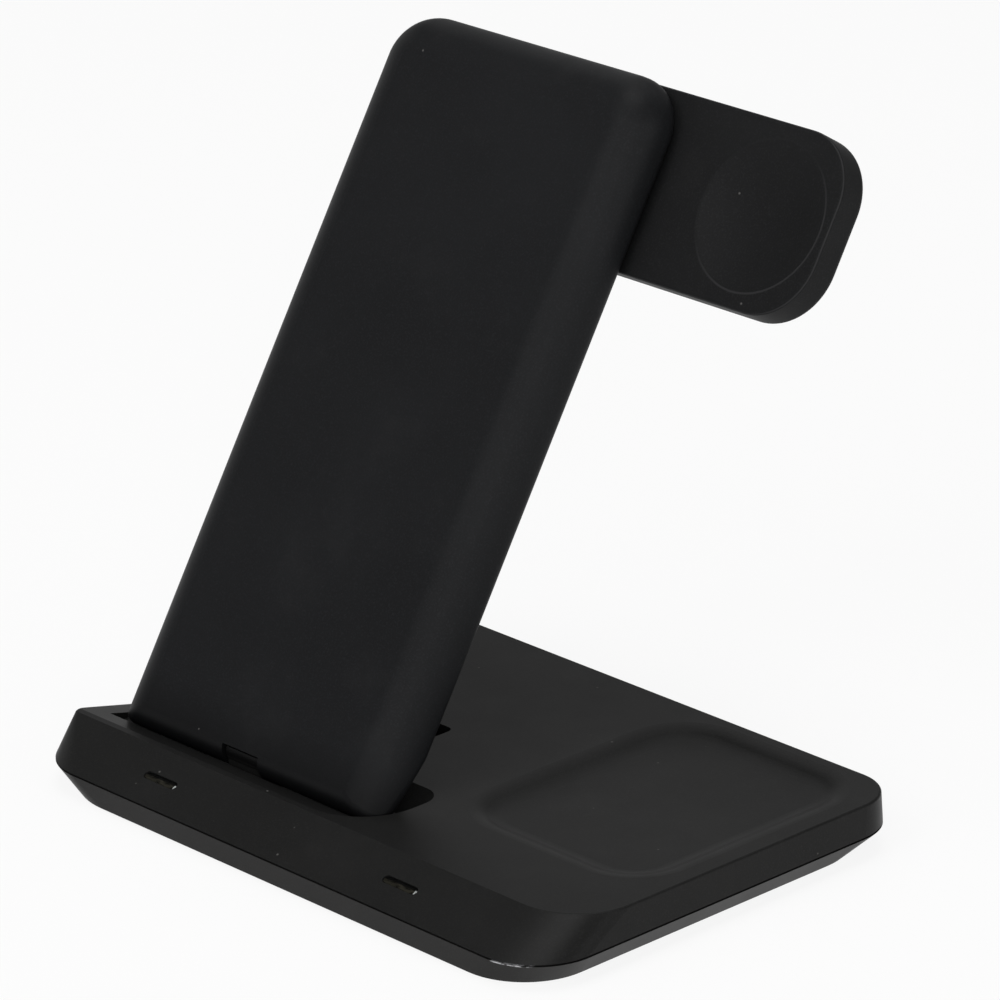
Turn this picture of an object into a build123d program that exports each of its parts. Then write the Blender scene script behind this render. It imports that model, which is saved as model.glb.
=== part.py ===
from build123d import *
from math import acos, atan2, cos, radians, sin, sqrt
import os

os.makedirs("parts", exist_ok=True)

# Base, all lengths in mm. X runs along the front, Y to the back, Z up, with the table at Z = 0.
# Corner radii are listed from the front left corner on, past the front right one.
base_width = 148.0
base_depth = 102.6
base_corners = (14.0, 14.0, 12.5, 12.5)
deck_corners = (1.5, 14.4, 10.5, 10.5)
lower_corners = (19.0, 15.0, 16.0, 16.0)
inner_corner = 12.0
deck_height = 11.8
deck_edge_radius = 0.5
apron_run = 11.8
side_draft = 0.8
back_draft = 0.9
seam_height = 5.0
seam_gap = 0.4
seam_depth = 0.7
cover_wall = 2.0
deck_wall = 1.8
floor_wall = 1.8
lower_side_taper = 3.5
lower_front_taper = 0.3
fit_clearance = 0.1

# Rubber pad under the base
pad_proud = 0.4
pad_recess = 0.5
pad_margin = 5.0
pad_corner = 10.0

# Base screws, driven from below
screw_inset_x = 16.0
screw_inset_front = 18.3
screw_inset_back = 11.3
screw_radius = 1.25
screw_head_radius = 2.5
screw_head_height = 1.2
screw_length = 4.2
screw_cup_radius = 4.2

# Earbud dish in the deck
earbud_width = 51.0
earbud_depth = 65.0
earbud_corner = 12.5
earbud_sink = 1.6
earbud_slope = 3.6
earbud_soft_radius = 7.5
earbud_inset_right = 6.3
earbud_inset_back = 5.1
earbud_wall = 1.5
earbud_coil_radius = 21.0
earbud_coil_hole = 9.0
earbud_coil_height = 1.5
earbud_ferrite_height = 0.8

# Status lights in the apron
light_length = 9.4
light_height = 1.9
light_left_x = -39.4
light_right_x = 30.7
light_sunk = 0.3
light_flange = 0.9
light_flange_thickness = 0.5

# Stand slab
stand_lean = 31.4
stand_width = 76.5
stand_length = 156.9
stand_thickness = 11.7
stand_corner = 11.0
stand_front_radius = 8.7
stand_back_radius = 2.6
stand_wall = 1.8
stand_centre_x = -28.5
stand_setback = 3.9
nose_radius = 4.4
nose_taper_length = 17.0
foot_solid_length = 19.0
foot_blend_radius = 2.2

# Trough in which the slab's foot turns
lip_width = 1.5
trough_depth = 4.0
trough_front_run = 16.0
trough_rear_run = 6.5
trough_front_corner = 14.0
trough_rear_corner = 5.0
trough_side_gap = 1.7
trough_wall = 1.6
nose_gap = 0.5

# Hinge at the slab's foot
knuckle_width = 10.0
knuckle_radius = 2.9
knuckle_gap = 0.3
hinge_pin_radius = 1.25
hinge_pin_length = 31.6
hinge_running_gap = 0.05
hinge_pin_gap = 0.02
hinge_washer_thickness = 0.6
hinge_washer_radius = 2.7
hinge_washer_gap = 0.05
leaf_width = 33.6
leaf_length = 39.0
leaf_proud = 4.0
leaf_gap = 0.2
leaf_lug_radius = 3.0
leaf_ramp_length = 20.0
leaf_edge = 1.7
front_notch_height = 3.6
notch_fill_sunk = 0.8
well_side_gap = 0.6
well_front_run = 5.5
well_back_run = 37.9
well_depth = 5.2
well_corner = 1.5

# Leaf screws
leaf_screw_spread = 12.0
leaf_screw_rows = (26.0, 34.0)
leaf_screw_radius = 1.0
leaf_screw_head_radius = 2.1
leaf_screw_head_height = 1.4
leaf_screw_length = 9.5
leaf_boss_radius = 2.8

# Coils behind the slab's face
phone_coil_radius = 20.0
phone_coil_hole = 9.0
phone_coil_height = 1.2
lower_coil_level = 62.0
upper_coil_level = 104.0
phone_ferrite_height = 1.0
phone_ferrite_margin = 1.5
stand_board_width = 28.0
stand_board_length = 24.0
stand_board_top_gap = 3.1
stand_board_inset = 20.0
stand_board_depth = 5.8
stand_post_radius = 1.6

# Watch arm
arm_gap = 0.55
arm_thickness = 7.4
arm_front_thickness = 4.5
arm_height = 38.1
arm_top_inset = 0.1
arm_reach = 44.8
arm_corner = 13.0
arm_wall = 1.6
arm_front_edge = 0.5
arm_back_edge = 1.6
arm_pivot_margin = 0.95
dish_radius = 15.5
dish_inset = 17.7
dish_hollow = 2.6
dish_wall = 1.2
dish_rim_radius = 2.0
watch_coil_radius = 13.0
watch_coil_hole = 5.6
watch_coil_height = 0.8
watch_magnet_radius = 5.0
watch_ferrite_radius = 14.0
watch_ferrite_height = 0.8
arm_screw_radius = 0.8
arm_screw_head_radius = 1.8
arm_screw_head_height = 0.9
arm_screw_end_gap = 0.3
arm_pilot_stop = 0.2
arm_boss_radius = 2.4

# Pivot of the watch arm
pivot_radius = 5.0
pivot_bore = 3.0
pivot_flange_radius = 8.0
pivot_flange_thickness = 1.4
pivot_reach = 3.2
pivot_running_gap = 0.05
pivot_washer_radius = 9.0
pivot_washer_thickness = 0.4
pivot_clip_radius = 7.5
pivot_clip_thickness = 0.8
pivot_clip_gap = 0.2
pivot_groove_depth = 0.6

# Boards and weight in the base
board_thickness = 1.2
main_board_width = 54.0
main_board_front_gap = 2.5
main_board_centre_x = -13.0
main_board_back_gap = 4.3
main_board_post = 2.6
board_post_radius = 2.4
board_screw_radius = 0.9
board_screw_head_radius = 1.8
board_screw_head_height = 0.9
board_screw_inset = 3.5
status_board_length = 84.0
status_post_inset = 8.0
status_board_width = 7.0
status_board_thickness = 0.8
status_board_post = 1.0
status_board_front_gap = 4.3
status_led_size = 1.6
status_led_height = 0.8
weight_thickness = 2.0
weight_corner = 4.0
weight_board_gap = 3.0
weight_side_inset = 8.0
weight_cup_gap = 1.2

# USB socket in the back wall
socket_width = 8.94
socket_height = 3.26
socket_length = 7.3
socket_shell = 0.3
socket_sunk = 0.7
socket_slot_gap = 0.25
tongue_width = 6.7
tongue_height = 0.7

# Length by which a cut runs past what it cuts
overrun = 100.0

# Places that follow from the sizes above
half_width = base_width / 2
front_y = -base_depth / 2
back_y = base_depth / 2
seam_top = seam_height + seam_gap
floor_top = pad_proud + floor_wall
deck_front_y = front_y + apron_run
lip_y = deck_front_y + lip_width
valley_y = lip_y + trough_front_run
trough_rear_y = valley_y + trough_rear_run
stand_right_x = stand_centre_x + stand_width / 2
stand_left_x = stand_centre_x - stand_width / 2
trough_right_x = stand_right_x + trough_side_gap
stand_face_y = deck_front_y + stand_setback
lean_sin = sin(radians(stand_lean))
lean_cos = cos(radians(stand_lean))
hinge_y = stand_face_y + nose_radius * (lean_sin + lean_cos)
hinge_z = deck_height + nose_radius * (lean_cos - lean_sin)
well_back_y = hinge_y + well_back_run
earbud_x = half_width - earbud_inset_right - earbud_width / 2
earbud_y = back_y - earbud_inset_back - earbud_depth / 2
pivot_x = stand_right_x - arm_height / 2 - arm_pivot_margin
arm_end_x = stand_right_x + arm_reach
arm_middle = stand_length - arm_top_inset - arm_height / 2
stand_board_level = stand_length - stand_wall - stand_board_top_gap - stand_board_length / 2
dish_x = arm_end_x - dish_inset
screw_spots = [
    (side * (half_width - screw_inset_x), y)
    for side in (-1, 1)
    for y in (front_y + screw_inset_front, back_y - screw_inset_back)
]
arm_front = -stand_thickness - arm_gap
arm_split = arm_front - arm_front_thickness
arm_back = arm_front - arm_thickness
stand_split = -stand_thickness + stand_back_radius
stand_rear_inside = -stand_thickness + stand_wall
stand_place = Plane(
    origin=(0, stand_face_y, deck_height),
    x_dir=(1, 0, 0),
    z_dir=(0, -lean_cos, lean_sin),
).location


def outline(z, left, right, front, back, radius):
    spot = Pos((left + right) / 2, (front + back) / 2, z)
    return spot * RectangleRounded(right - left, back - front, radius)


def between(lower, upper):
    return loft([lower.face(), upper.face()], ruled=True)


def inset_outline(z, side, front, back, radius):
    return outline(z, -half_width + side, half_width - side, front_y + front, back_y - back, radius)


def corner_outline(z, side, front, back, corners):
    left, right = -half_width + side, half_width - side
    low, high = front_y + front, back_y - back
    face = Pos((left + right) / 2, (low + high) / 2, z) * Rectangle(right - left, high - low)
    for (x, y), radius in zip(((left, low), (right, low), (right, high), (left, high)), corners):
        face = fillet(face.vertices().sort_by_distance((x, y, z))[0], radius)
    return face


def cylinder(x, y, bottom, top, radius):
    return extrude(Pos(x, y, bottom) * Circle(radius), amount=top - bottom)


def ring(x, y, bottom, top, radius, hole):
    return cylinder(x, y, bottom, top, radius) - cylinder(x, y, bottom - 1, top + 1, hole)


def block(x_range, y_range, z_range):
    size = [high - low for low, high in (x_range, y_range, z_range)]
    middle = [(high + low) / 2 for low, high in (x_range, y_range, z_range)]
    return Pos(*middle) * Box(*size)


def along_x(profile, low, high):
    return Pos(low, 0, 0) * extrude(Plane.YZ * profile, amount=high - low)


def polygon(*points):
    return make_face(Polyline(*points, close=True))


def tangent_point(centre, radius, target):
    reach = sqrt((target[0] - centre[0]) ** 2 + (target[1] - centre[1]) ** 2)
    heading = atan2(target[1] - centre[1], target[0] - centre[0]) - acos(radius / reach)
    return (centre[0] + radius * cos(heading), centre[1] + radius * sin(heading))


def save(part, name):
    part.label = name
    export_step(part, "parts/" + name + ".step")


def in_stand(part):
    return stand_place * part


def grouped(solids):
    return Compound(children=[item.solid() for item in solids])


# Pockets in the deck; extra grows a pocket by the wall that is left under it
def trough(extra):
    roof = deck_height + overrun
    profile = polygon(
        (lip_y - extra, roof),
        (lip_y - extra, deck_height - extra),
        (valley_y, deck_height - trough_depth - extra),
        (trough_rear_y + extra, deck_height - extra),
        (trough_rear_y + extra, roof),
    )
    scoop = Pos(hinge_y, hinge_z) * Circle(nose_radius + nose_gap + extra)
    low_x = -half_width - overrun
    high_x = trough_right_x + extra
    plan = Rectangle(high_x - low_x, trough_rear_y - lip_y + 2 * extra)
    plan = Pos((low_x + high_x) / 2, (lip_y + trough_rear_y) / 2) * plan
    front_right = plan.vertices().group_by(Axis.X)[-1].sort_by(Axis.Y)[0]
    plan = fillet(front_right, trough_front_corner + extra)
    rear_right = plan.vertices().sort_by_distance((high_x, trough_rear_y + extra))[0]
    plan = fillet(rear_right, trough_rear_corner + extra)
    ramp = along_x(profile, low_x, high_x)
    foot_scoop = along_x(scoop, stand_left_x - trough_side_gap - extra, high_x)
    return (ramp + foot_scoop) & extrude(plan, amount=roof)


def hinge_well(extra):
    reach = leaf_width / 2 + well_side_gap + extra
    floor = deck_height - well_depth - extra
    sides = (stand_centre_x - reach, stand_centre_x + reach)
    front = hinge_y + well_front_run - extra
    face = outline(floor, *sides, front, well_back_y + extra, well_corner + extra)
    return extrude(face, amount=overrun)


def earbud_dish(extra):
    half_x = earbud_width / 2 + extra
    half_y = earbud_depth / 2 + extra
    low = deck_height - earbud_sink - extra
    sides = (earbud_x - half_x, earbud_x + half_x, earbud_y - half_y, earbud_y + half_y)
    slope = (earbud_slope, -earbud_slope, earbud_slope, -earbud_slope)
    inner = [edge + step for edge, step in zip(sides, slope)]
    lower = outline(low, *inner, earbud_corner + extra - earbud_slope)
    upper = outline(deck_height, *sides, earbud_corner + extra)
    return between(lower, upper) + extrude(upper, amount=overrun)


# Base top cover
parting_face = corner_outline(seam_top, 0, 0, 0, base_corners)
deck_face = corner_outline(deck_height, side_draft, apron_run, back_draft, deck_corners)
top_cover = between(parting_face, deck_face)
top_cover = fillet(top_cover.faces().sort_by(Axis.Z)[-1].edges(), deck_edge_radius)
apron_rise = deck_height - seam_top
apron_angle = atan2(apron_rise, apron_run)
apron_inset = cover_wall / sin(apron_angle)
inner_top = deck_height - deck_wall
inner_low = inset_outline(seam_top, cover_wall, apron_inset, cover_wall, inner_corner)
inner_run = apron_run * (inner_top - seam_top) / apron_rise
inner_high = inset_outline(
    inner_top, cover_wall + side_draft, apron_inset + inner_run, cover_wall + back_draft, inner_corner
)
cavity = between(inner_low, inner_high)
cavity = cavity - trough(trough_wall) - hinge_well(trough_wall) - earbud_dish(earbud_wall)
top_cover = top_cover - cavity
top_cover = top_cover - earbud_dish(0)


def dish_edges(part, level):
    reach_x = earbud_width / 2 + 0.1
    reach_y = earbud_depth / 2 + 0.1
    spots = part.edges().filter_by_position(Axis.Z, level - 0.01, level + 0.01)
    wide = spots.filter_by_position(Axis.X, earbud_x - reach_x, earbud_x + reach_x)
    return wide.filter_by_position(Axis.Y, earbud_y - reach_y, earbud_y + reach_y)


top_cover = fillet(dish_edges(top_cover, deck_height), earbud_soft_radius)
top_cover = fillet(dish_edges(top_cover, deck_height - earbud_sink), earbud_soft_radius)
top_cover = top_cover - trough(0) - hinge_well(0)

# Hinge knuckle on the base
knuckle = Pos(hinge_y, hinge_z) * Circle(knuckle_radius)
neck_bottom = hinge_z - nose_radius - nose_gap - trough_wall / 2
neck = Pos(hinge_y, (hinge_z + neck_bottom) / 2) * Rectangle(2 * knuckle_radius, hinge_z - neck_bottom)
knuckle_bore = Pos(hinge_y, hinge_z) * Circle(hinge_pin_radius + hinge_running_gap)
knuckle_span = (stand_centre_x - knuckle_width / 2, stand_centre_x + knuckle_width / 2)
fill_top = front_notch_height - knuckle_gap - nose_radius
fill_face = Pos(0, fill_top - nose_radius) * Rectangle(4 * nose_radius, 2 * nose_radius)
notch_fill = Circle(nose_radius - notch_fill_sunk) & Rot(0, 0, -stand_lean) * fill_face
notch_fill = Pos(hinge_y, hinge_z) * notch_fill
top_cover = top_cover + along_x(knuckle + neck + notch_fill, *knuckle_span)
top_cover = top_cover - along_x(knuckle_bore, knuckle_span[0] - 1, knuckle_span[1] + 1)

# Screw bosses inside the top cover
pilot_radius = screw_radius + fit_clearance
cup_top = seam_top
screw_head_top = floor_top + screw_head_height
pilot_top = screw_head_top + screw_length + 0.4
for x, y in screw_spots:
    boss = cylinder(x, y, cup_top, inner_top, screw_cup_radius - 0.8) & (top_cover + cavity)
    top_cover = top_cover + boss
    top_cover = top_cover - cylinder(x, y, cup_top - 1, pilot_top, pilot_radius)

# Light slots and lenses, square to the apron
windows = {}
for name, x in (("left_light_window", light_left_x), ("right_light_window", light_right_x)):
    spot = Plane(
        origin=(x, front_y + apron_run / 2, seam_top + apron_rise / 2),
        x_dir=(1, 0, 0),
        z_dir=(0, -sin(apron_angle), cos(apron_angle)),
    ).location
    slot = extrude(SlotOverall(light_length, light_height), amount=cover_wall + 3)
    top_cover = top_cover - spot * Pos(0, 0, -cover_wall - 1) * slot
    lens_face = SlotOverall(light_length - 2 * fit_clearance, light_height - 2 * fit_clearance)
    lens = Pos(0, 0, -cover_wall) * extrude(lens_face, amount=cover_wall - light_sunk)
    flange_face = SlotOverall(light_length + 2 * light_flange, light_height + 2 * light_flange)
    flange = Pos(0, 0, -cover_wall) * extrude(flange_face, amount=-light_flange_thickness)
    windows[name] = spot * (lens + flange)

# Socket slot in the back wall
board_z = floor_top + main_board_post
board_top = board_z + board_thickness
socket_z = board_top + socket_height / 2
slot_face = SlotOverall(socket_width + 2 * socket_slot_gap, socket_height + 2 * socket_slot_gap)
socket_slot = Pos(0, back_y + 2, socket_z) * extrude(Plane.XZ * slot_face, amount=cover_wall + back_draft + 3)
top_cover = top_cover - socket_slot
save(top_cover, "base_top_cover")
for name, window in windows.items():
    save(window, name)

# Base bottom cover
lower_face = corner_outline(pad_proud, lower_side_taper, lower_front_taper, lower_side_taper, lower_corners)
rim_face = corner_outline(seam_height, 0, 0, 0, base_corners)
tray = between(lower_face, rim_face)
step_corners = [corner - seam_depth for corner in base_corners]
tray = tray + extrude(corner_outline(seam_height, *([seam_depth] * 3), step_corners), amount=seam_gap)
tray_wall = cover_wall + seam_depth
tray_side = lower_side_taper + tray_wall / 2
tray_low = inset_outline(floor_top, tray_side, tray_wall, tray_side, inner_corner - 2)
tray_high = inset_outline(seam_top + 0.1, tray_wall, tray_wall, tray_wall, inner_corner)
tray = tray - between(tray_low, tray_high)
pad_side = lower_side_taper + pad_margin
pad_sizes = (pad_side, lower_front_taper + pad_margin, pad_side, pad_corner)
tray = tray - extrude(inset_outline(pad_proud - 1, *pad_sizes), amount=pad_recess + 1)
for x, y in screw_spots:
    tray = tray + cylinder(x, y, pad_proud + pad_recess, cup_top, screw_cup_radius)
    tray = tray - cylinder(x, y, 0, screw_head_top, screw_head_radius + 0.3)
    tray = tray - cylinder(x, y, 0, cup_top + 1, pilot_radius + 0.1)

# Main board with its posts, screws and parts
main_board_back = back_y - main_board_back_gap
main_board_front = well_back_y + trough_wall + main_board_front_gap
main_board_depth = main_board_back - main_board_front
main_board_y = (main_board_back + main_board_front) / 2
board_spots = [
    (
        main_board_centre_x + side * (main_board_width / 2 - board_screw_inset),
        main_board_y + end * (main_board_depth / 2 - board_screw_inset),
    )
    for side in (-1, 1)
    for end in (-1, 1)
]
for x, y in board_spots:
    tray = tray + cylinder(x, y, floor_top - 0.5, board_z, board_post_radius)
    tray = tray - cylinder(x, y, floor_top, board_z + 1, board_screw_radius + fit_clearance)
main_board = Pos(main_board_centre_x, main_board_y, board_z + board_thickness / 2)
main_board = main_board * Box(main_board_width, main_board_depth, board_thickness)
for x, y in board_spots:
    main_board = main_board - cylinder(x, y, board_z - 1, board_top + 1, board_screw_radius + fit_clearance)
save(main_board, "main_board")
board_screws = []
for x, y in board_spots:
    shank = cylinder(x, y, floor_top + 0.4, board_top, board_screw_radius)
    head = cylinder(x, y, board_top, board_top + board_screw_head_height, board_screw_head_radius)
    board_screws.append(shank + head)
save(grouped(board_screws), "board_screws")
chip_rows = (
    (-16.0, -4.0, 7.0, 7.0, 1.0),
    (-3.0, -6.0, 5.0, 5.0, 0.9),
    (14.0, -4.0, 7.0, 7.0, 2.6),
    (-16.0, 7.0, 6.0, 4.0, 1.2),
)
board_parts = []
for shift_x, shift_y, width, depth, height in chip_rows:
    x = main_board_centre_x + shift_x
    y = main_board_y + shift_y
    chip = Pos(x, y, board_top + height / 2) * Box(width, depth, height)
    board_parts.append(chip)
save(grouped(board_parts), "board_parts")

# USB socket on the main board
socket_mouth = back_y - socket_sunk
socket_face = SlotOverall(socket_width, socket_height)
socket_hole = SlotOverall(socket_width - 2 * socket_shell, socket_height - 2 * socket_shell)
socket_at = Pos(0, socket_mouth, socket_z)
socket = extrude(Plane.XZ * socket_face, amount=socket_length)
socket = socket - extrude(Plane.XZ * socket_hole, amount=socket_length - 1)
socket = socket + Pos(0, -socket_length / 2 - 0.5, 0) * Box(tongue_width, socket_length - 1, tongue_height)
save(socket_at * socket, "usb_socket")

# Status board behind the apron
status_y = front_y + status_board_front_gap + status_board_width / 2
status_x = (light_left_x + light_right_x) / 2
status_z = floor_top + status_board_post
status_top = status_z + status_board_thickness
for side in (-1, 1):
    x = status_x + side * (status_board_length / 2 - status_post_inset)
    tray = tray + cylinder(x, status_y, floor_top - 0.5, status_z, board_post_radius)
status_board = Pos(status_x, status_y, status_z + status_board_thickness / 2)
status_board = status_board * Box(status_board_length, status_board_width, status_board_thickness)
save(status_board, "status_board")
status_leds = []
for x in (light_left_x, light_right_x):
    led = Pos(x, status_y, status_top + status_led_height / 2)
    status_leds.append(led * Box(status_led_size, status_led_size, status_led_height))
save(grouped(status_leds), "status_leds")
save(tray, "base_bottom_cover")

# Pad, screws and weight
pad_face = inset_outline(0, *[size + fit_clearance for size in pad_sizes[:3]], pad_sizes[3])
save(extrude(pad_face, amount=pad_proud + pad_recess), "base_pad")
base_screws = []
for x, y in screw_spots:
    head = cylinder(x, y, floor_top, screw_head_top, screw_head_radius)
    shank = cylinder(x, y, screw_head_top, screw_head_top + screw_length, screw_radius)
    base_screws.append(head + shank)
save(grouped(base_screws), "base_screws")
weight_sides = (main_board_centre_x + main_board_width / 2 + weight_board_gap, half_width - weight_side_inset)
cup_room = screw_cup_radius + weight_cup_gap
weight_ends = (front_y + screw_inset_front + cup_room, back_y - screw_inset_back - cup_room)
weight = extrude(outline(floor_top, *weight_sides, *weight_ends, weight_corner), amount=weight_thickness)
save(weight, "weight_plate")

# Earbud coil and ferrite under the dish
coil_top = deck_height - earbud_sink - earbud_wall
coil_low = coil_top - earbud_coil_height
save(ring(earbud_x, earbud_y, coil_low, coil_top, earbud_coil_radius, earbud_coil_hole), "earbud_coil")
ferrite_low = coil_low - earbud_ferrite_height
save(cylinder(earbud_x, earbud_y, ferrite_low, coil_low, earbud_coil_radius), "earbud_ferrite")

# Stand slab, drawn in its own frame: X along the base, Y up the slab, Z out of its face at Z = 0
slab_face = Pos(stand_centre_x, (stand_length - overrun) / 2)
slab_face = slab_face * RectangleRounded(stand_width, stand_length + overrun, stand_corner)
slab = extrude(slab_face, amount=-stand_thickness)
slab = fillet(slab.faces().sort_by(Axis.Z)[-1].edges(), stand_front_radius)
slab = fillet(slab.faces().sort_by(Axis.Z)[0].edges(), stand_back_radius)
nose_centre = (nose_radius, -nose_radius)
taper_end = (nose_taper_length, -stand_thickness)
taper_start = tangent_point(nose_centre, nose_radius, taper_end)
taper_slope = (taper_end[0] - taper_start[0]) / (taper_end[1] - taper_start[1])
side_face = polygon(
    (nose_centre[0], 1),
    (stand_length + 1, 1),
    (stand_length + 1, -stand_thickness - 1),
    (taper_end[0] - taper_slope, -stand_thickness - 1),
    taper_start,
    nose_centre,
)
side_face = side_face + Pos(*nose_centre) * Circle(nose_radius)
slab = slab & along_x(side_face, stand_left_x - 1, stand_right_x + 1)
foot_edges = slab.edges().filter_by(GeomType.BSPLINE).group_by(Axis.Y)[0]
slab = fillet(foot_edges, foot_blend_radius)
slab_box = (stand_left_x - 1, stand_right_x + 1), (-1, stand_length + 1)
front_half = slab & block(*slab_box, (stand_split, 1))
rear_half = slab & block(*slab_box, (-stand_thickness - 1, stand_split))

# Hollow of the slab above its solid foot
hollow_length = stand_length - stand_wall - foot_solid_length
hollow_face = RectangleRounded(stand_width - 2 * stand_wall, hollow_length, stand_corner - stand_wall)
hollow_middle = foot_solid_length + hollow_length / 2
hollow_face = Pos(stand_centre_x, hollow_middle, -stand_wall) * hollow_face
hollow = extrude(hollow_face, amount=stand_rear_inside + stand_wall)
hollow = fillet(hollow.faces().sort_by(Axis.Z)[-1].edges(), stand_front_radius - stand_wall)
front_half = front_half - hollow
rear_half = rear_half - hollow

# Pocket for the hinge leaf and notch for the knuckle
pocket_half = leaf_width / 2 + leaf_gap
skin = nose_radius - leaf_lug_radius - leaf_gap
pocket_top = nose_taper_length + leaf_gap
pocket_face = Pos(*nose_centre) * Circle(leaf_lug_radius + leaf_gap)
pocket_face = pocket_face + polygon(
    (nose_centre[0], -skin), (pocket_top, -skin), (pocket_top, -overrun), (nose_centre[0], -overrun)
)
pocket_face = pocket_face + polygon(
    nose_centre, (nose_centre[0], -overrun), (-overrun, -overrun), (-overrun, nose_centre[1])
)
pocket = along_x(pocket_face, stand_centre_x - pocket_half, stand_centre_x + pocket_half)
notch_half = knuckle_width / 2 + knuckle_gap
notch_sides = (stand_centre_x - notch_half, stand_centre_x + notch_half)
notch = block(notch_sides, (-overrun, front_notch_height), (-overrun, overrun))
front_half = front_half - pocket - notch
rear_half = rear_half - pocket

# Bosses for the leaf screws and posts for the stand board
leaf_spots = [
    (stand_centre_x + side * leaf_screw_spread, level)
    for side in (-1, 1)
    for level in leaf_screw_rows
]
for x, level in leaf_spots:
    front_half = front_half + cylinder(x, level, stand_rear_inside, -stand_wall + 0.2, leaf_boss_radius)
    pilot = cylinder(x, level, stand_rear_inside - 1, -stand_wall - 1.0, leaf_screw_radius + fit_clearance)
    front_half = front_half - pilot
    rear_half = rear_half - cylinder(x, level, -overrun, 0, leaf_screw_radius + 2 * fit_clearance)
board_x = stand_left_x + stand_board_inset
stand_posts = [
    (board_x + side * (stand_board_width / 2 - 3), stand_board_level + end * (stand_board_length / 2 - 3))
    for side in (-1, 1)
    for end in (-1, 1)
]
for x, level in stand_posts:
    front_half = front_half + cylinder(x, level, -stand_board_depth, -stand_wall + 0.2, stand_post_radius)
rear_half = rear_half - cylinder(pivot_x, arm_middle, -overrun, 0, pivot_radius + pivot_running_gap)
save(in_stand(front_half), "stand_front_cover")
save(in_stand(rear_half), "stand_rear_cover")

# Coils, ferrite and board in the slab
coil_back = -stand_wall - phone_coil_height
for name, level in (("upper_phone_coil", upper_coil_level), ("lower_phone_coil", lower_coil_level)):
    coil = ring(stand_centre_x, level, coil_back, -stand_wall, phone_coil_radius, phone_coil_hole)
    save(in_stand(coil), name)
ferrite_half = phone_coil_radius + phone_ferrite_margin
ferrite = block(
    (stand_centre_x - ferrite_half, stand_centre_x + ferrite_half),
    (lower_coil_level - ferrite_half, upper_coil_level + ferrite_half),
    (coil_back - phone_ferrite_height, coil_back),
)
save(in_stand(ferrite), "phone_ferrite")
stand_board_back = -stand_board_depth - board_thickness
stand_board = block(
    (board_x - stand_board_width / 2, board_x + stand_board_width / 2),
    (stand_board_level - stand_board_length / 2, stand_board_level + stand_board_length / 2),
    (stand_board_back, -stand_board_depth),
)
save(in_stand(stand_board), "stand_board")
stand_chips = []
for shift, size in ((-6.0, 6.0), (5.0, 4.0)):
    middle = board_x + shift
    chip = block(
        (middle - size / 2, middle + size / 2),
        (stand_board_level - size / 2, stand_board_level + size / 2),
        (stand_board_back - 1.2, stand_board_back),
    )
    stand_chips.append(chip)
save(in_stand(grouped(stand_chips)), "stand_board_parts")

# Hinge leaf
leaf_back = -stand_thickness - leaf_proud
leaf_tangent = tangent_point(nose_centre, leaf_lug_radius, (leaf_ramp_length, leaf_back))
leaf_face = polygon(
    (nose_centre[0], nose_centre[1] + leaf_lug_radius),
    (nose_taper_length, nose_centre[1] + leaf_lug_radius),
    (nose_taper_length, -stand_thickness),
    (leaf_length, -stand_thickness),
    (leaf_length, leaf_back + leaf_edge),
    (leaf_length - leaf_edge, leaf_back),
    (leaf_ramp_length, leaf_back),
    leaf_tangent,
    nose_centre,
)
leaf_face = leaf_face + Pos(*nose_centre) * Circle(leaf_lug_radius)
leaf = along_x(leaf_face, stand_centre_x - leaf_width / 2, stand_centre_x + leaf_width / 2)
lug_gap = knuckle_width / 2 + hinge_washer_thickness + 2 * hinge_washer_gap
lug_notch_top = nose_radius + knuckle_radius + knuckle_gap
lug_notch_sides = (stand_centre_x - lug_gap, stand_centre_x + lug_gap)
leaf = leaf - block(lug_notch_sides, (-overrun, lug_notch_top), (-overrun, overrun))
lug_bore = Pos(*nose_centre) * Circle(hinge_pin_radius + hinge_pin_gap)
lug_reach = hinge_pin_length / 2 + hinge_pin_gap
leaf = leaf - along_x(lug_bore, stand_centre_x - lug_reach, stand_centre_x + lug_reach)
leaf_head_low = leaf_back + leaf_screw_head_height + 0.2
for x, level in leaf_spots:
    leaf = leaf - cylinder(x, level, -overrun, 0, leaf_screw_radius + fit_clearance)
    leaf = leaf - cylinder(x, level, -overrun, leaf_head_low, leaf_screw_head_radius + fit_clearance)
save(in_stand(leaf), "hinge_leaf")
leaf_screws = []
for x, level in leaf_spots:
    head = cylinder(x, level, leaf_head_low - leaf_screw_head_height, leaf_head_low, leaf_screw_head_radius)
    shank = cylinder(x, level, leaf_head_low, leaf_head_low + leaf_screw_length, leaf_screw_radius)
    leaf_screws.append(head + shank)
save(in_stand(grouped(leaf_screws)), "leaf_screws")

# Hinge pin and washers
pin_face = Pos(*nose_centre) * Circle(hinge_pin_radius)
pin = along_x(pin_face, stand_centre_x - hinge_pin_length / 2, stand_centre_x + hinge_pin_length / 2)
save(in_stand(pin), "hinge_pin")
washer_face = Pos(*nose_centre) * (Circle(hinge_washer_radius) - Circle(hinge_pin_radius + hinge_running_gap))
washer_inner = knuckle_width / 2 + hinge_washer_gap
washer_outer = washer_inner + hinge_washer_thickness
right_washer = along_x(washer_face, stand_centre_x + washer_inner, stand_centre_x + washer_outer)
left_washer = along_x(washer_face, stand_centre_x - washer_outer, stand_centre_x - washer_inner)
save(in_stand(grouped([left_washer, right_washer])), "hinge_washers")


# Watch arm in the slab's frame
def arm_plan(inset):
    half = arm_height / 2 - inset
    straight = Rectangle(arm_end_x - inset - pivot_x, 2 * half)
    straight = Pos((arm_end_x - inset + pivot_x) / 2, arm_middle) * straight
    straight = fillet(straight.vertices().group_by(Axis.X)[-1], arm_corner - inset)
    return straight + Pos(pivot_x, arm_middle) * Circle(half)


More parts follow.
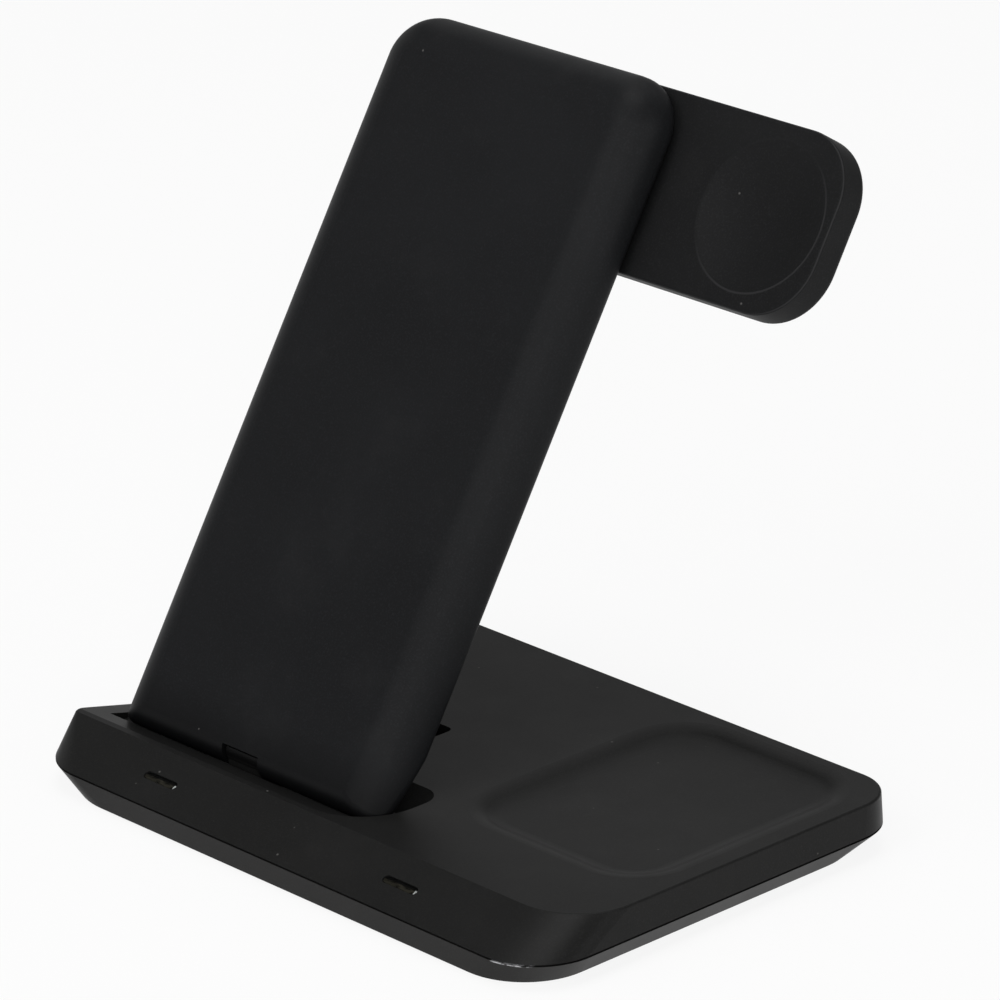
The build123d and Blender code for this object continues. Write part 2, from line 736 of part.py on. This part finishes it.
def arm_slice(inset, low, high):
    return extrude(Pos(0, 0, low) * arm_plan(inset), amount=high - low)


front_shell = arm_slice(0, arm_split, arm_front)
front_shell = fillet(front_shell.faces().sort_by(Axis.Z)[-1].edges(), arm_front_edge)
arm_inside = arm_front - arm_wall
front_shell = front_shell - arm_slice(arm_wall, arm_split, arm_inside)
rear_shell = arm_slice(0, arm_back, arm_split)
rear_shell = fillet(rear_shell.faces().sort_by(Axis.Z)[0].edges(), arm_back_edge)
arm_floor = arm_back + arm_wall
rear_shell = rear_shell - arm_slice(arm_wall, arm_floor, arm_split)

# Watch dish moulded in the front cover, with its coil, ferrite and magnet
dish_back = arm_front - dish_hollow - dish_wall
front_shell = front_shell + cylinder(dish_x, arm_middle, dish_back, arm_inside + 0.3, dish_radius)
ball_radius = (dish_radius ** 2 + dish_hollow ** 2) / (2 * dish_hollow)
ball_place = Pos(dish_x, arm_middle, arm_front - dish_hollow + ball_radius)
front_shell = front_shell - ball_place * Sphere(ball_radius)
face_edges = front_shell.edges().filter_by_position(Axis.Z, arm_front - 0.01, arm_front + 0.01)
rim = [edge for edge in face_edges.filter_by(GeomType.CIRCLE) if abs(edge.radius - dish_radius) < 0.01]
front_shell = fillet(rim, dish_rim_radius)
watch_coil_back = dish_back - watch_coil_height
watch_coil = ring(dish_x, arm_middle, watch_coil_back, dish_back, watch_coil_radius, watch_coil_hole)
save(in_stand(watch_coil), "watch_coil")
magnet = cylinder(dish_x, arm_middle, watch_coil_back, dish_back, watch_magnet_radius)
save(in_stand(magnet), "watch_magnet")
watch_ferrite_back = watch_coil_back - watch_ferrite_height
watch_ferrite = cylinder(dish_x, arm_middle, watch_ferrite_back, watch_coil_back, watch_ferrite_radius)
save(in_stand(watch_ferrite), "watch_ferrite")
coil_bed = cylinder(dish_x, arm_middle, arm_floor - 0.3, watch_ferrite_back, watch_ferrite_radius)
rear_shell = rear_shell + coil_bed

# Screws that hold the arm's halves together
arm_spots = [
    (pivot_x - pivot_flange_radius - 4.5, arm_middle),
    (dish_x - dish_radius - 9.5, arm_middle + arm_height / 2 - 6.5),
    (dish_x - dish_radius - 9.5, arm_middle - arm_height / 2 + 6.5),
]
arm_head_low = arm_back + 0.1
arm_head_top = arm_head_low + arm_screw_head_height
arm_pilot_top = arm_inside - arm_pilot_stop
arm_screws = []
for x, level in arm_spots:
    front_shell = front_shell + cylinder(x, level, arm_floor, arm_inside + 0.3, arm_boss_radius)
    pilot = cylinder(x, level, arm_floor - 1, arm_pilot_top, arm_screw_radius + fit_clearance)
    front_shell = front_shell - pilot
    shank_hole = cylinder(x, level, arm_back - 1, arm_floor + 1, arm_screw_radius + fit_clearance)
    head_hole = cylinder(x, level, arm_back - 1, arm_head_top, arm_screw_head_radius + fit_clearance)
    rear_shell = rear_shell - shank_hole - head_hole
    head = cylinder(x, level, arm_head_low, arm_head_top, arm_screw_head_radius)
    shank = cylinder(x, level, arm_head_top, arm_pilot_top - arm_screw_end_gap, arm_screw_radius)
    arm_screws.append(head + shank)
save(in_stand(grouped(arm_screws)), "arm_screws")

# Pivot: a hollow shaft held in the arm that turns in the slab's rear cover
pivot_hole = cylinder(pivot_x, arm_middle, arm_inside - 1, arm_front + 1, pivot_radius + hinge_pin_gap)
front_shell = front_shell - pivot_hole
pivot_end = stand_rear_inside + pivot_reach
pivot_low = arm_inside - pivot_flange_thickness
pivot = cylinder(pivot_x, arm_middle, pivot_low, arm_inside, pivot_flange_radius)
pivot = pivot + cylinder(pivot_x, arm_middle, arm_inside, pivot_end, pivot_radius)
pivot = pivot - cylinder(pivot_x, arm_middle, pivot_low - 1, pivot_end + 1, pivot_bore)
clip_low = stand_rear_inside + pivot_clip_gap
clip_high = clip_low + pivot_clip_thickness
groove_radius = pivot_radius - pivot_groove_depth
groove = ring(pivot_x, arm_middle, clip_low - 0.05, clip_high + 0.05, pivot_radius + 1, groove_radius)
save(in_stand(pivot - groove), "arm_pivot")
clip = ring(pivot_x, arm_middle, clip_low, clip_high, pivot_clip_radius, groove_radius + hinge_pin_gap)
save(in_stand(clip), "pivot_clip")
washer_top = arm_front + pivot_washer_thickness
washer_hole = pivot_radius + fit_clearance
pivot_washer = ring(pivot_x, arm_middle, arm_front, washer_top, pivot_washer_radius, washer_hole)
save(in_stand(pivot_washer), "pivot_washer")
save(in_stand(front_shell), "arm_front_cover")
save(in_stand(rear_shell), "arm_rear_cover")
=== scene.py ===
from math import cos, radians, sin

import bpy
from mathutils import Matrix, Vector

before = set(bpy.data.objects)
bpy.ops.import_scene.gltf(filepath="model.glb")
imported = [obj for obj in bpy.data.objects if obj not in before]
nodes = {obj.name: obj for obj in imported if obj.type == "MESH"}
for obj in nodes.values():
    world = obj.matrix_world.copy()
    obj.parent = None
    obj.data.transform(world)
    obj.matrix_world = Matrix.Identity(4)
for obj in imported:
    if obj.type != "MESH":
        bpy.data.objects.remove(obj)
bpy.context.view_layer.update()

scene = bpy.context.scene
scene.view_settings.view_transform = "Standard"

# Colours, linear
SLAB_BLACK = (0.0087, 0.0091, 0.0100)
ARM_BLACK = (0.0101, 0.0103, 0.0107)
BASE_BLACK = (0.0106, 0.0106, 0.0104)
LOWER_GREY = (0.0140, 0.0136, 0.0133)
SEAM_LINE_GREY = (0.62, 0.62, 0.64)
# Painted highlight for the arm's edges and the watch dish's rim
HIGHLIGHT_GREY = (0.030, 0.030, 0.031)
# Painted shade for the slab's foot and the hinge knuckle
SHADE_BLACK = (0.0022, 0.0022, 0.0024)
LENS_BLACK = (0.0025, 0.0025, 0.0025)
LENS_OLIVE = (0.0260, 0.0245, 0.0185)
# Painted glint at the lower right end of each lens
GLINT_WHITE = (0.42, 0.44, 0.43)
DUST_GREY = (0.30, 0.29, 0.28)
FLOOR_WHITE = (0.95, 0.95, 0.95)
HORIZON_GREY = (0.42, 0.42, 0.42)
ZENITH_GREY = (0.01, 0.01, 0.01)

# Ways to remap a value onto a share
RISING = (0, 1)
FALLING = (1, 0)

# Plastic: noise scales per metre, limits of the noise that count, and strengths
CLOUD_SCALE = 28
CLOUD_LIMITS = (0.35, 0.65)
CLOUD_DARK = 0.90
CLOUD_LIGHT = 1.12
GRAIN_SCALE = 2600
GRAIN_LIMITS = (0.5, 0.8)
GRAIN_PALE = 1.7
GRAIN_DEPTH = 0.00003
HAZE_SCALE = 60
HAZE_ROUGHNESS = 0.65
HAZE_LIMITS = (0.55, 0.8)
HAZE_COVER = 0.012
SHEEN_SCALE = 90
SHEEN_LIMITS = (0.3, 0.7)
SHEEN_SPREAD = 0.02
SPECK_SCALE = 170
SPECK_SIZE = 0.05
SPECK_CORE = 0.6
SPECK_COVER = 0.3
SPECK_ROUGHNESS = 0.3

# Plain finishes of the inner pieces
PLAIN_SCALE = 300
PLAIN_LIMITS = (0.3, 0.7)
PLAIN_DARK = 0.8
PLAIN_SPREAD = 0.08

# Smoked lenses with a painted shadow along the top and a painted glint at one end, limits as
# shares of a lens's box
LENS_SCALE = 6
LENS_CLOUD_LIMITS = (0.3, 0.6)
LENS_SHEEN_LIMITS = (0.3, 0.7)
LENS_ROUGHNESS = (0.16, 0.28)
LENS_LEVEL = 0.2
LENS_SHADOW_TOP = (0.89, 0.93)
GLINT_START = (0.845, 0.855)
GLINT_TOP = (0.90, 0.93)

# Slab's lean, and the painted shade at its foot, darker towards the bottom
SLAB_LEAN = radians(31.4)
SLAB_RISE = (0, sin(SLAB_LEAN), cos(SLAB_LEAN))
SLAB_OUT = (0, -cos(SLAB_LEAN), sin(SLAB_LEAN))
FOOT_Y = -0.0356
FOOT_Z = 0.0118
SLAB_FOOT = FOOT_Y * sin(SLAB_LEAN) + FOOT_Z * cos(SLAB_LEAN)
FOOT_SHADE_HEIGHTS = (0.002, 0.012)
FOOT_SHADE_SHARE = 0.75

# Shade on the hinge knuckle, which rises above the deck
DECK_HEIGHT = 0.0119
KNUCKLE_FADE = 0.0005
KNUCKLE_SHARE = 0.8

# Painted highlights on the arm's front edge and on the rim of the watch dish
EDGE_HIGHLIGHT = 0.8
EDGE_START = (0.35, 0.55)
EDGE_END = (0.80, 0.90)
DISH_CENTRE = (0.03685, 0.046412, 0.123125)
DISH_RIM = 0.0157
RIM_WIDTH = (0.0001, 0.0003)
RIM_FACING = (0.4, 0.6)
RIM_SIDE = (-0.005, 0.012)
RIM_SIDE_SHARE = (0.1, 1)

# Broken white line on the seam at the front right corner
SEAM_LINE_X = 0.0654
SEAM_LINE_Z = 0.0051
SEAM_LINE_FRONT = -0.04
SEAM_LINE_LENGTH = (0.0030, 0.0040)
SEAM_LINE_HEIGHT = (0.00022, 0.00034)
SEAM_LINE_SCALE = 700
SEAM_LINE_BREAKS = (0.40, 0.55)

# Camera as the photograph was taken
CAMERA_AZIMUTH = radians(46.433)
CAMERA_ELEVATION = radians(21.256)
CAMERA_ROLL = radians(-0.628)
CAMERA_DISTANCE = 1.22827
CAMERA_SIDE = 0.007526
CAMERA_RISE = 0.061447
CAMERA_LENS = 220.92
CAMERA_SENSOR = 36.0
CAMERA_NEAR = 0.01
CAMERA_FAR = 50.0
PAD_HEIGHT = 0.0008

# Floor and sky
FLOOR_SIZE = 8
FLOOR_SHADOW = 0.12
SKY_HEIGHTS = (0.0, 0.6)

# Softboxes around the object: name, azimuth and elevation in degrees, power in watts
LIGHT_TARGET = Vector((0, 0, 0.05))
LIGHT_DISTANCE = 1.5
LIGHT_SIZE = 0.8
LIGHTS = (
    ("top softbox", 0, 90, 7.5),
    ("front softbox", 0, 42, 5.5),
    ("right front softbox", 45, 28, 5.6),
    ("right softbox", 90, 20, 4.2),
    ("back softbox", 180, 50, 1.6),
    ("back left softbox", 225, 50, 1.8),
    ("low back left softbox", 225, 20, 0.40),
    ("left softbox", 270, 20, 1.1),
    ("left front softbox", 315, 50, 1.2),
)


def new_material(name):
    material = bpy.data.materials.new(name)
    material.use_nodes = True
    tree = material.node_tree
    return material, tree, tree.nodes["Principled BSDF"]


def scaled(colour, factor):
    return tuple(channel * factor for channel in colour)


def coordinates(tree, kind):
    return tree.nodes.new("ShaderNodeTexCoord").outputs[kind]


def split_axes(tree, place):
    node = tree.nodes.new("ShaderNodeSeparateXYZ")
    tree.links.new(place, node.inputs[0])
    return node.outputs


def noise(tree, place, scale, detail, roughness=0.5):
    node = tree.nodes.new("ShaderNodeTexNoise")
    node.inputs["Scale"].default_value = scale
    node.inputs["Detail"].default_value = detail
    node.inputs["Roughness"].default_value = roughness
    tree.links.new(place, node.inputs["Vector"])
    return node.outputs["Fac"]


def remap(tree, value, limits, shares=RISING):
    node = tree.nodes.new("ShaderNodeMapRange")
    node.clamp = True
    tree.links.new(value, node.inputs["Value"])
    keys = ("From Min", "From Max", "To Min", "To Max")
    for key, number in zip(keys, (*limits, *shares)):
        node.inputs[key].default_value = number
    return node.outputs["Result"]


def mix_colour(tree, factor, first, second):
    node = tree.nodes.new("ShaderNodeMix")
    node.data_type = "RGBA"
    tree.links.new(factor, node.inputs["Factor"])
    for socket, value in ((node.inputs[6], first), (node.inputs[7], second)):
        if isinstance(value, tuple):
            socket.default_value = (*value, 1)
        else:
            tree.links.new(value, socket)
    return node.outputs[2]


def combine(tree, operation, first, second=0):
    node = tree.nodes.new("ShaderNodeMath")
    node.operation = operation
    for socket, value in ((node.inputs[0], first), (node.inputs[1], second)):
        if isinstance(value, (int, float)):
            socket.default_value = value
        else:
            tree.links.new(value, socket)
    return node.outputs[0]


def product(tree, first, *others):
    for other in others:
        first = combine(tree, "MULTIPLY", first, other)
    return first


def distance(tree, value, centre):
    return combine(tree, "ABSOLUTE", combine(tree, "SUBTRACT", value, centre))


def along(tree, vector, direction):
    node = tree.nodes.new("ShaderNodeVectorMath")
    node.operation = "DOT_PRODUCT"
    node.inputs[1].default_value = direction
    tree.links.new(vector, node.inputs[0])
    return node.outputs["Value"]


def facing(tree):
    return along(tree, coordinates(tree, "Normal"), SLAB_OUT)


def specks(tree, place, amount):
    cells = tree.nodes.new("ShaderNodeTexVoronoi")
    cells.inputs["Scale"].default_value = SPECK_SCALE
    tree.links.new(place, cells.inputs["Vector"])
    limits = (SPECK_SIZE * SPECK_CORE, SPECK_SIZE)
    spot = remap(tree, cells.outputs["Distance"], limits, FALLING)
    chosen = tree.nodes.new("ShaderNodeSeparateColor")
    tree.links.new(cells.outputs["Color"], chosen.inputs["Color"])
    kept = combine(tree, "GREATER_THAN", chosen.outputs["Red"], 1 - amount)
    return product(tree, spot, kept)


# Marks on the plastics, painted shade and painted highlights among them: each gives the share
# of its own colour at a place
def seam_line(tree, place):
    axes = split_axes(tree, place)
    length = remap(tree, distance(tree, axes["X"], SEAM_LINE_X), SEAM_LINE_LENGTH, FALLING)
    height = remap(tree, distance(tree, axes["Z"], SEAM_LINE_Z), SEAM_LINE_HEIGHT, FALLING)
    front = combine(tree, "LESS_THAN", axes["Y"], SEAM_LINE_FRONT)
    broken = remap(tree, noise(tree, place, SEAM_LINE_SCALE, detail=3), SEAM_LINE_BREAKS)
    return product(tree, length, height, front, broken)


def knuckle_shade(tree, place):
    heights = (DECK_HEIGHT, DECK_HEIGHT + KNUCKLE_FADE)
    return remap(tree, split_axes(tree, place)["Z"], heights, (0, KNUCKLE_SHARE))


# Painted shade on the slab's foot, darker towards its bottom edge
def foot_painted_shade(tree, place):
    height = combine(tree, "SUBTRACT", along(tree, place, SLAB_RISE), SLAB_FOOT)
    return remap(tree, height, FOOT_SHADE_HEIGHTS, (FOOT_SHADE_SHARE, 0))


# Painted highlight along the arm's rounded front edge
def arm_edge_painted_highlight(tree, place):
    turned = facing(tree)
    start = remap(tree, turned, EDGE_START)
    end = remap(tree, turned, EDGE_END, FALLING)
    return product(tree, start, end, EDGE_HIGHLIGHT)


# Painted highlight on the lower right of the watch dish's rim
def dish_rim_painted_highlight(tree, place):
    offset = tree.nodes.new("ShaderNodeVectorMath")
    offset.operation = "SUBTRACT"
    offset.inputs[1].default_value = DISH_CENTRE
    tree.links.new(place, offset.inputs[0])
    across = along(tree, offset.outputs["Vector"], (1, 0, 0))
    rise = along(tree, offset.outputs["Vector"], SLAB_RISE)
    square = combine(tree, "ADD", product(tree, across, across), product(tree, rise, rise))
    radius = combine(tree, "SQRT", square)
    ring = remap(tree, distance(tree, radius, DISH_RIM), RIM_WIDTH, FALLING)
    front = remap(tree, facing(tree), RIM_FACING)
    lower_right = combine(tree, "SUBTRACT", across, rise)
    side = remap(tree, lower_right, RIM_SIDE, RIM_SIDE_SHARE)
    return product(tree, ring, front, side, EDGE_HIGHLIGHT)


def plastic(name, colour, roughness, grain, dust, level, marks):
    material, tree, shader = new_material(name)
    place = coordinates(tree, "Object")
    cloud = remap(tree, noise(tree, place, CLOUD_SCALE, detail=4), CLOUD_LIMITS)
    fine = noise(tree, place, GRAIN_SCALE, detail=2)
    body = mix_colour(tree, cloud, scaled(colour, CLOUD_DARK), scaled(colour, CLOUD_LIGHT))
    body = mix_colour(tree, remap(tree, fine, GRAIN_LIMITS), body, scaled(colour, GRAIN_PALE))
    for mark, mark_colour in marks:
        body = mix_colour(tree, mark(tree, place), body, mark_colour)
    spots = specks(tree, place, dust)
    haze = noise(tree, place, HAZE_SCALE, detail=6, roughness=HAZE_ROUGHNESS)
    haze = remap(tree, haze, HAZE_LIMITS, (0, HAZE_COVER))
    dirt = combine(tree, "ADD", product(tree, spots, SPECK_COVER), haze)
    tree.links.new(mix_colour(tree, dirt, body, DUST_GREY), shader.inputs["Base Color"])
    spread = (roughness - SHEEN_SPREAD, roughness + SHEEN_SPREAD)
    sheen = remap(tree, noise(tree, place, SHEEN_SCALE, detail=5), SHEEN_LIMITS, spread)
    rough = combine(tree, "ADD", sheen, product(tree, spots, SPECK_ROUGHNESS))
    tree.links.new(rough, shader.inputs["Roughness"])
    shader.inputs["Specular IOR Level"].default_value = level
    bump = tree.nodes.new("ShaderNodeBump")
    bump.inputs["Strength"].default_value = grain
    bump.inputs["Distance"].default_value = GRAIN_DEPTH
    tree.links.new(fine, bump.inputs["Height"])
    tree.links.new(bump.outputs["Normal"], shader.inputs["Normal"])
    return material


def plain(name, colour, roughness, metallic=0.0):
    material, tree, shader = new_material(name)
    cloud = noise(tree, coordinates(tree, "Object"), PLAIN_SCALE, detail=4)
    body = mix_colour(tree, cloud, scaled(colour, PLAIN_DARK), colour)
    tree.links.new(body, shader.inputs["Base Color"])
    spread = (roughness - PLAIN_SPREAD, roughness + PLAIN_SPREAD)
    tree.links.new(remap(tree, cloud, PLAIN_LIMITS, spread), shader.inputs["Roughness"])
    shader.inputs["Metallic"].default_value = metallic
    return material


def lens(name):
    material, tree, shader = new_material(name)
    place = coordinates(tree, "Generated")
    axes = split_axes(tree, place)
    cloud = noise(tree, place, LENS_SCALE, detail=4)
    body = mix_colour(tree, remap(tree, cloud, LENS_CLOUD_LIMITS), LENS_BLACK, LENS_OLIVE)
    # Painted shadow along the top of the lens, where the slot's wall shades it
    body = mix_colour(tree, remap(tree, axes["Z"], LENS_SHADOW_TOP), body, LENS_BLACK)
    # Painted glint at the lower right end of the lens
    end = remap(tree, axes["X"], GLINT_START)
    lower = remap(tree, axes["Z"], GLINT_TOP, FALLING)
    body = mix_colour(tree, product(tree, end, lower), body, GLINT_WHITE)
    tree.links.new(body, shader.inputs["Base Color"])
    rough = remap(tree, cloud, LENS_SHEEN_LIMITS, LENS_ROUGHNESS)
    tree.links.new(rough, shader.inputs["Roughness"])
    shader.inputs["Specular IOR Level"].default_value = LENS_LEVEL
    return material


# White to the camera and in reflections, apart from a share that takes shadows
def stage_material(name, colour, shadow_share):
    material = bpy.data.materials.new(name)
    material.use_nodes = True
    tree = material.node_tree
    tree.nodes.clear()
    output = tree.nodes.new("ShaderNodeOutputMaterial")
    diffuse = tree.nodes.new("ShaderNodeBsdfDiffuse")
    diffuse.inputs["Color"].default_value = (*colour, 1)
    glow = tree.nodes.new("ShaderNodeEmission")
    glow.inputs["Color"].default_value = (1, 1, 1, 1)
    glow.inputs["Strength"].default_value = 1.0
    rays = tree.nodes.new("ShaderNodeLightPath").outputs
    seen = combine(tree, "MAXIMUM", rays["Is Camera Ray"], rays["Is Glossy Ray"])
    seen = combine(tree, "MAXIMUM", seen, rays["Is Transmission Ray"])
    mix = tree.nodes.new("ShaderNodeMixShader")
    tree.links.new(product(tree, seen, 1 - shadow_share), mix.inputs[0])
    tree.links.new(diffuse.outputs[0], mix.inputs[1])
    tree.links.new(glow.outputs[0], mix.inputs[2])
    tree.links.new(mix.outputs[0], output.inputs["Surface"])
    return material


def add_camera():
    a, e, k = CAMERA_AZIMUTH, CAMERA_ELEVATION, CAMERA_ROLL
    level_right = Vector((cos(a), sin(a), 0))
    level_up = Vector((-sin(a) * sin(e), cos(a) * sin(e), cos(e)))
    back = Vector((sin(a) * cos(e), -cos(a) * cos(e), sin(e)))
    right = cos(k) * level_right + sin(k) * level_up
    up = -sin(k) * level_right + cos(k) * level_up
    place = CAMERA_DISTANCE * back + CAMERA_SIDE * right + CAMERA_RISE * up
    place.z += PAD_HEIGHT
    data = bpy.data.cameras.new("camera")
    data.lens = CAMERA_LENS
    data.sensor_width = CAMERA_SENSOR
    data.clip_start = CAMERA_NEAR
    data.clip_end = CAMERA_FAR
    camera = bpy.data.objects.new("camera", data)
    camera.matrix_world = Matrix((
        (right.x, up.x, back.x, place.x),
        (right.y, up.y, back.y, place.y),
        (right.z, up.z, back.z, place.z),
        (0, 0, 0, 1),
    ))
    scene.collection.objects.link(camera)
    scene.camera = camera


def add_softbox(name, azimuth, elevation, power):
    data = bpy.data.lights.new(name, "AREA")
    data.size = LIGHT_SIZE
    data.energy = power
    level = cos(elevation)
    away = Vector((level * sin(azimuth), -level * cos(azimuth), sin(elevation)))
    lamp = bpy.data.objects.new(name, data)
    lamp.location = LIGHT_TARGET + LIGHT_DISTANCE * away
    lamp.rotation_euler = (-away).to_track_quat("-Z", "Y").to_euler()
    scene.collection.objects.link(lamp)


def add_world():
    world = bpy.data.worlds.new("studio")
    world.use_nodes = True
    tree = world.node_tree
    axes = split_axes(tree, coordinates(tree, "Generated"))
    height = remap(tree, axes["Z"], SKY_HEIGHTS)
    colour = mix_colour(tree, height, HORIZON_GREY, ZENITH_GREY)
    tree.links.new(colour, tree.nodes["Background"].inputs["Color"])
    scene.world = world


def add_stage():
    bpy.ops.mesh.primitive_plane_add(size=FLOOR_SIZE, location=(0, 0, 0))
    floor = bpy.context.object
    floor.name = "floor"
    floor.data.materials.append(stage_material("white floor", FLOOR_WHITE, FLOOR_SHADOW))
    add_world()
    for name, azimuth, elevation, power in LIGHTS:
        add_softbox(name, radians(azimuth), radians(elevation), power)


# Marks with their colours, and the finishes
SLAB_MARKS = ((foot_painted_shade, SHADE_BLACK),)
ARM_MARKS = ((arm_edge_painted_highlight, HIGHLIGHT_GREY), (dish_rim_painted_highlight, HIGHLIGHT_GREY))
BASE_MARKS = ((knuckle_shade, SHADE_BLACK),)
LOWER_MARKS = ((seam_line, SEAM_LINE_GREY),)
MATERIALS = {
    "slab": plastic(
        "soft touch slab", SLAB_BLACK,
        roughness=0.50, grain=0.10, dust=0.03, level=0.12, marks=SLAB_MARKS,
    ),
    "arm": plastic(
        "soft touch arm", ARM_BLACK,
        roughness=0.52, grain=0.10, dust=0.30, level=0.09, marks=ARM_MARKS,
    ),
    "base": plastic(
        "satin base", BASE_BLACK,
        roughness=0.42, grain=0.14, dust=0.55, level=0.12, marks=BASE_MARKS,
    ),
    "lower": plastic(
        "satin lower cover", LOWER_GREY,
        roughness=0.46, grain=0.14, dust=0.05, level=0.15, marks=LOWER_MARKS,
    ),
    "lens": lens("smoked lens"),
    "rubber": plain("pad rubber", (0.012, 0.012, 0.012), roughness=0.75),
    "steel": plain("steel", (0.55, 0.55, 0.54), roughness=0.32, metallic=1.0),
    "black steel": plain("blackened steel", (0.10, 0.10, 0.105), roughness=0.42, metallic=1.0),
    "copper": plain("coil wire", (0.72, 0.33, 0.16), roughness=0.35, metallic=1.0),
    "ferrite": plain("ferrite", (0.05, 0.05, 0.052), roughness=0.6),
    "board": plain("board laminate", (0.010, 0.120, 0.050), roughness=0.4),
    "chip": plain("chip resin", (0.020, 0.020, 0.021), roughness=0.5),
    "led": plain("led resin", (0.80, 0.78, 0.62), roughness=0.2),
    "washer": plain("washer plastic", (0.60, 0.59, 0.56), roughness=0.4),
    "hinge": plain("hinge paint", (0.016, 0.016, 0.017), roughness=0.5),
}
FINISH = {
    "base_top_cover": "base",
    "base_bottom_cover": "lower",
    "base_pad": "rubber",
    "base_screws": "steel",
    "left_light_window": "lens",
    "right_light_window": "lens",
    "status_board": "board",
    "status_leds": "led",
    "main_board": "board",
    "board_parts": "chip",
    "board_screws": "steel",
    "usb_socket": "steel",
    "earbud_coil": "copper",
    "earbud_ferrite": "ferrite",
    "weight_plate": "steel",
    "stand_front_cover": "slab",
    "stand_rear_cover": "slab",
    "hinge_leaf": "hinge",
    "hinge_pin": "steel",
    "hinge_washers": "steel",
    "leaf_screws": "black steel",
    "upper_phone_coil": "copper",
    "lower_phone_coil": "copper",
    "phone_ferrite": "ferrite",
    "stand_board": "board",
    "stand_board_parts": "chip",
    "arm_front_cover": "arm",
    "arm_rear_cover": "arm",
    "watch_coil": "copper",
    "watch_ferrite": "ferrite",
    "watch_magnet": "steel",
    "arm_pivot": "steel",
    "pivot_washer": "washer",
    "pivot_clip": "steel",
    "arm_screws": "black steel",
}
for node, finish in FINISH.items():
    data = nodes[node].data
    data.materials.clear()
    data.materials.append(MATERIALS[finish])

add_camera()
add_stage()
